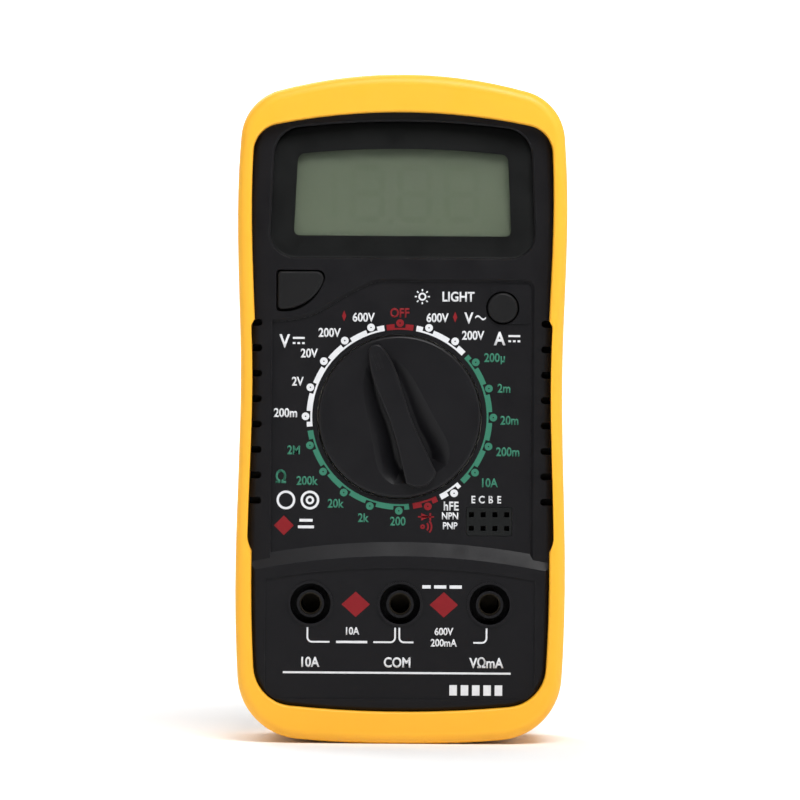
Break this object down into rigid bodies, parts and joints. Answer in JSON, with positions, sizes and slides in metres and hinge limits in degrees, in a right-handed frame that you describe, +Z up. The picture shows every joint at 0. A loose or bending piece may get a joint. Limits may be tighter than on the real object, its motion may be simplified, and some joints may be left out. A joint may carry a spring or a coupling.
{
  "type": "digital multimeter",
  "caption": "Hand-held digital multimeter in a rubber holster, with display, rotary selector, push keys, shrouded plug jacks, transistor socket and folding rear stand.",
  "frame": {"origin": "under the centre of the holster, on the surface that the meter stands on", "axes": "+Z up along the meter's length towards the display; the front panel faces -Y; +X is to the right of someone who reads the display"},
  "size_m": [0.07, 0.033, 0.142],
  "materials": {
    "holster": "satin moulded rubber",
    "front_case": "fine textured",
    "rear_case": "fine textured",
    "battery_door": "fine textured",
    "tilt_stand": "fine textured",
    "rear_label": "satin film",
    "selector_knob": "satin",
    "hold_button": "matt",
    "backlight_button": "matt",
    "hold_switch_body": "moulded",
    "hold_switch_plunger": "moulded",
    "light_switch_body": "moulded",
    "light_switch_plunger": "moulded",
    "switch_rotor": "moulded",
    "detent_balls": "polished steel",
    "detent_springs": "drawn wire",
    "rotor_contacts": "stamped",
    "lcd_window": "clear polished acrylic",
    "window_mask": "printed film",
    "lcd_panel": "polarised glass",
    "lcd_frame": "moulded",
    "backlight_diffuser": "frosted acrylic",
    "backlight_leds": "moulded",
    "zebra_strip": "moulded",
    "circuit_board": "solder mask over glass laminate",
    "transistor_socket": "moulded",
    "socket_contacts": "stamped",
    "jack_amps": "turned",
    "jack_common": "turned",
    "jack_volts": "turned",
    "fuse_tube": "drawn tube",
    "fuse_caps": "plated",
    "fuse_clips": "tinned",
    "shunt_wire": "bare resistance wire",
    "battery": "printed steel jacket",
    "battery_terminals": "plated",
    "battery_snap": "moulded vinyl",
    "red_lead": "insulated wire",
    "black_lead": "insulated wire",
    "buzzer": "moulded",
    "chip_cover": "cured resin",
    "trimmer": "moulded",
    "trimmer_screw": "slotted",
    "resistors": "lacquered",
    "diodes": "moulded",
    "capacitors": "dipped",
    "board_screws": "zinc plated",
    "case_screws": "blackened",
    "door_screw": "blackened"
  },
  "bodies": {
    "meter": {"holster": "holster", "front_case": "front_case", "rear_case": "rear_case", "battery_door": "battery_door", "rear_label": "rear_label", "hold_switch_body": "hold_switch_body", "light_switch_body": "light_switch_body", "lcd_window": "lcd_window", "window_mask": "window_mask", "lcd_panel": "lcd_panel", "lcd_frame": "lcd_frame", "backlight_diffuser": "backlight_diffuser", "backlight_leds": "backlight_leds", "zebra_strip": "zebra_strip", "circuit_board": "circuit_board", "transistor_socket": "transistor_socket", "socket_contacts": "socket_contacts", "jack_amps": "jack_amps", "jack_common": "jack_common", "jack_volts": "jack_volts", "fuse_tube": "fuse_tube", "fuse_caps": "fuse_caps", "fuse_clips": "fuse_clips", "shunt_wire": "shunt_wire", "battery": "battery", "battery_terminals": "battery_terminals", "battery_snap": "battery_snap", "red_lead": "red_lead", "black_lead": "black_lead", "buzzer": "buzzer", "chip_cover": "chip_cover", "trimmer": "trimmer", "trimmer_screw": "trimmer_screw", "resistors": "resistors", "diodes": "diodes", "capacitors": "capacitors", "board_screws": "board_screws", "case_screws": "case_screws", "door_screw": "door_screw"},
    "selector": {"selector_knob": "selector_knob", "switch_rotor": "switch_rotor", "detent_balls": "detent_balls", "detent_springs": "detent_springs", "rotor_contacts": "rotor_contacts"},
    "hold_key": {"hold_button": "hold_button", "hold_switch_plunger": "hold_switch_plunger"},
    "light_key": {"backlight_button": "backlight_button", "light_switch_plunger": "light_switch_plunger"},
    "stand": {"tilt_stand": "tilt_stand"}
  },
  "joints": [
    {"name": "selector_turn", "type": "hinge", "parent": "meter", "child": "selector", "pos_m": [-0.0004, -0.012, 0.0693], "axis": [0, -1, 0], "continuous": true},
    {"name": "hold_press", "type": "slide", "parent": "meter", "child": "hold_key", "axis": [0, 1, 0], "range_m": [0, 0.0008], "stiffness_N_per_m": 1500, "springref_m": -0.0005},
    {"name": "light_press", "type": "slide", "parent": "meter", "child": "light_key", "axis": [0, 1, 0], "range_m": [0, 0.0008], "stiffness_N_per_m": 1500, "springref_m": -0.0005},
    {"name": "stand_swing", "type": "hinge", "parent": "meter", "child": "stand", "pos_m": [0, 0.0148, 0.121], "axis": [1, 0, 0], "range_deg": [0, 60]}
  ]
}
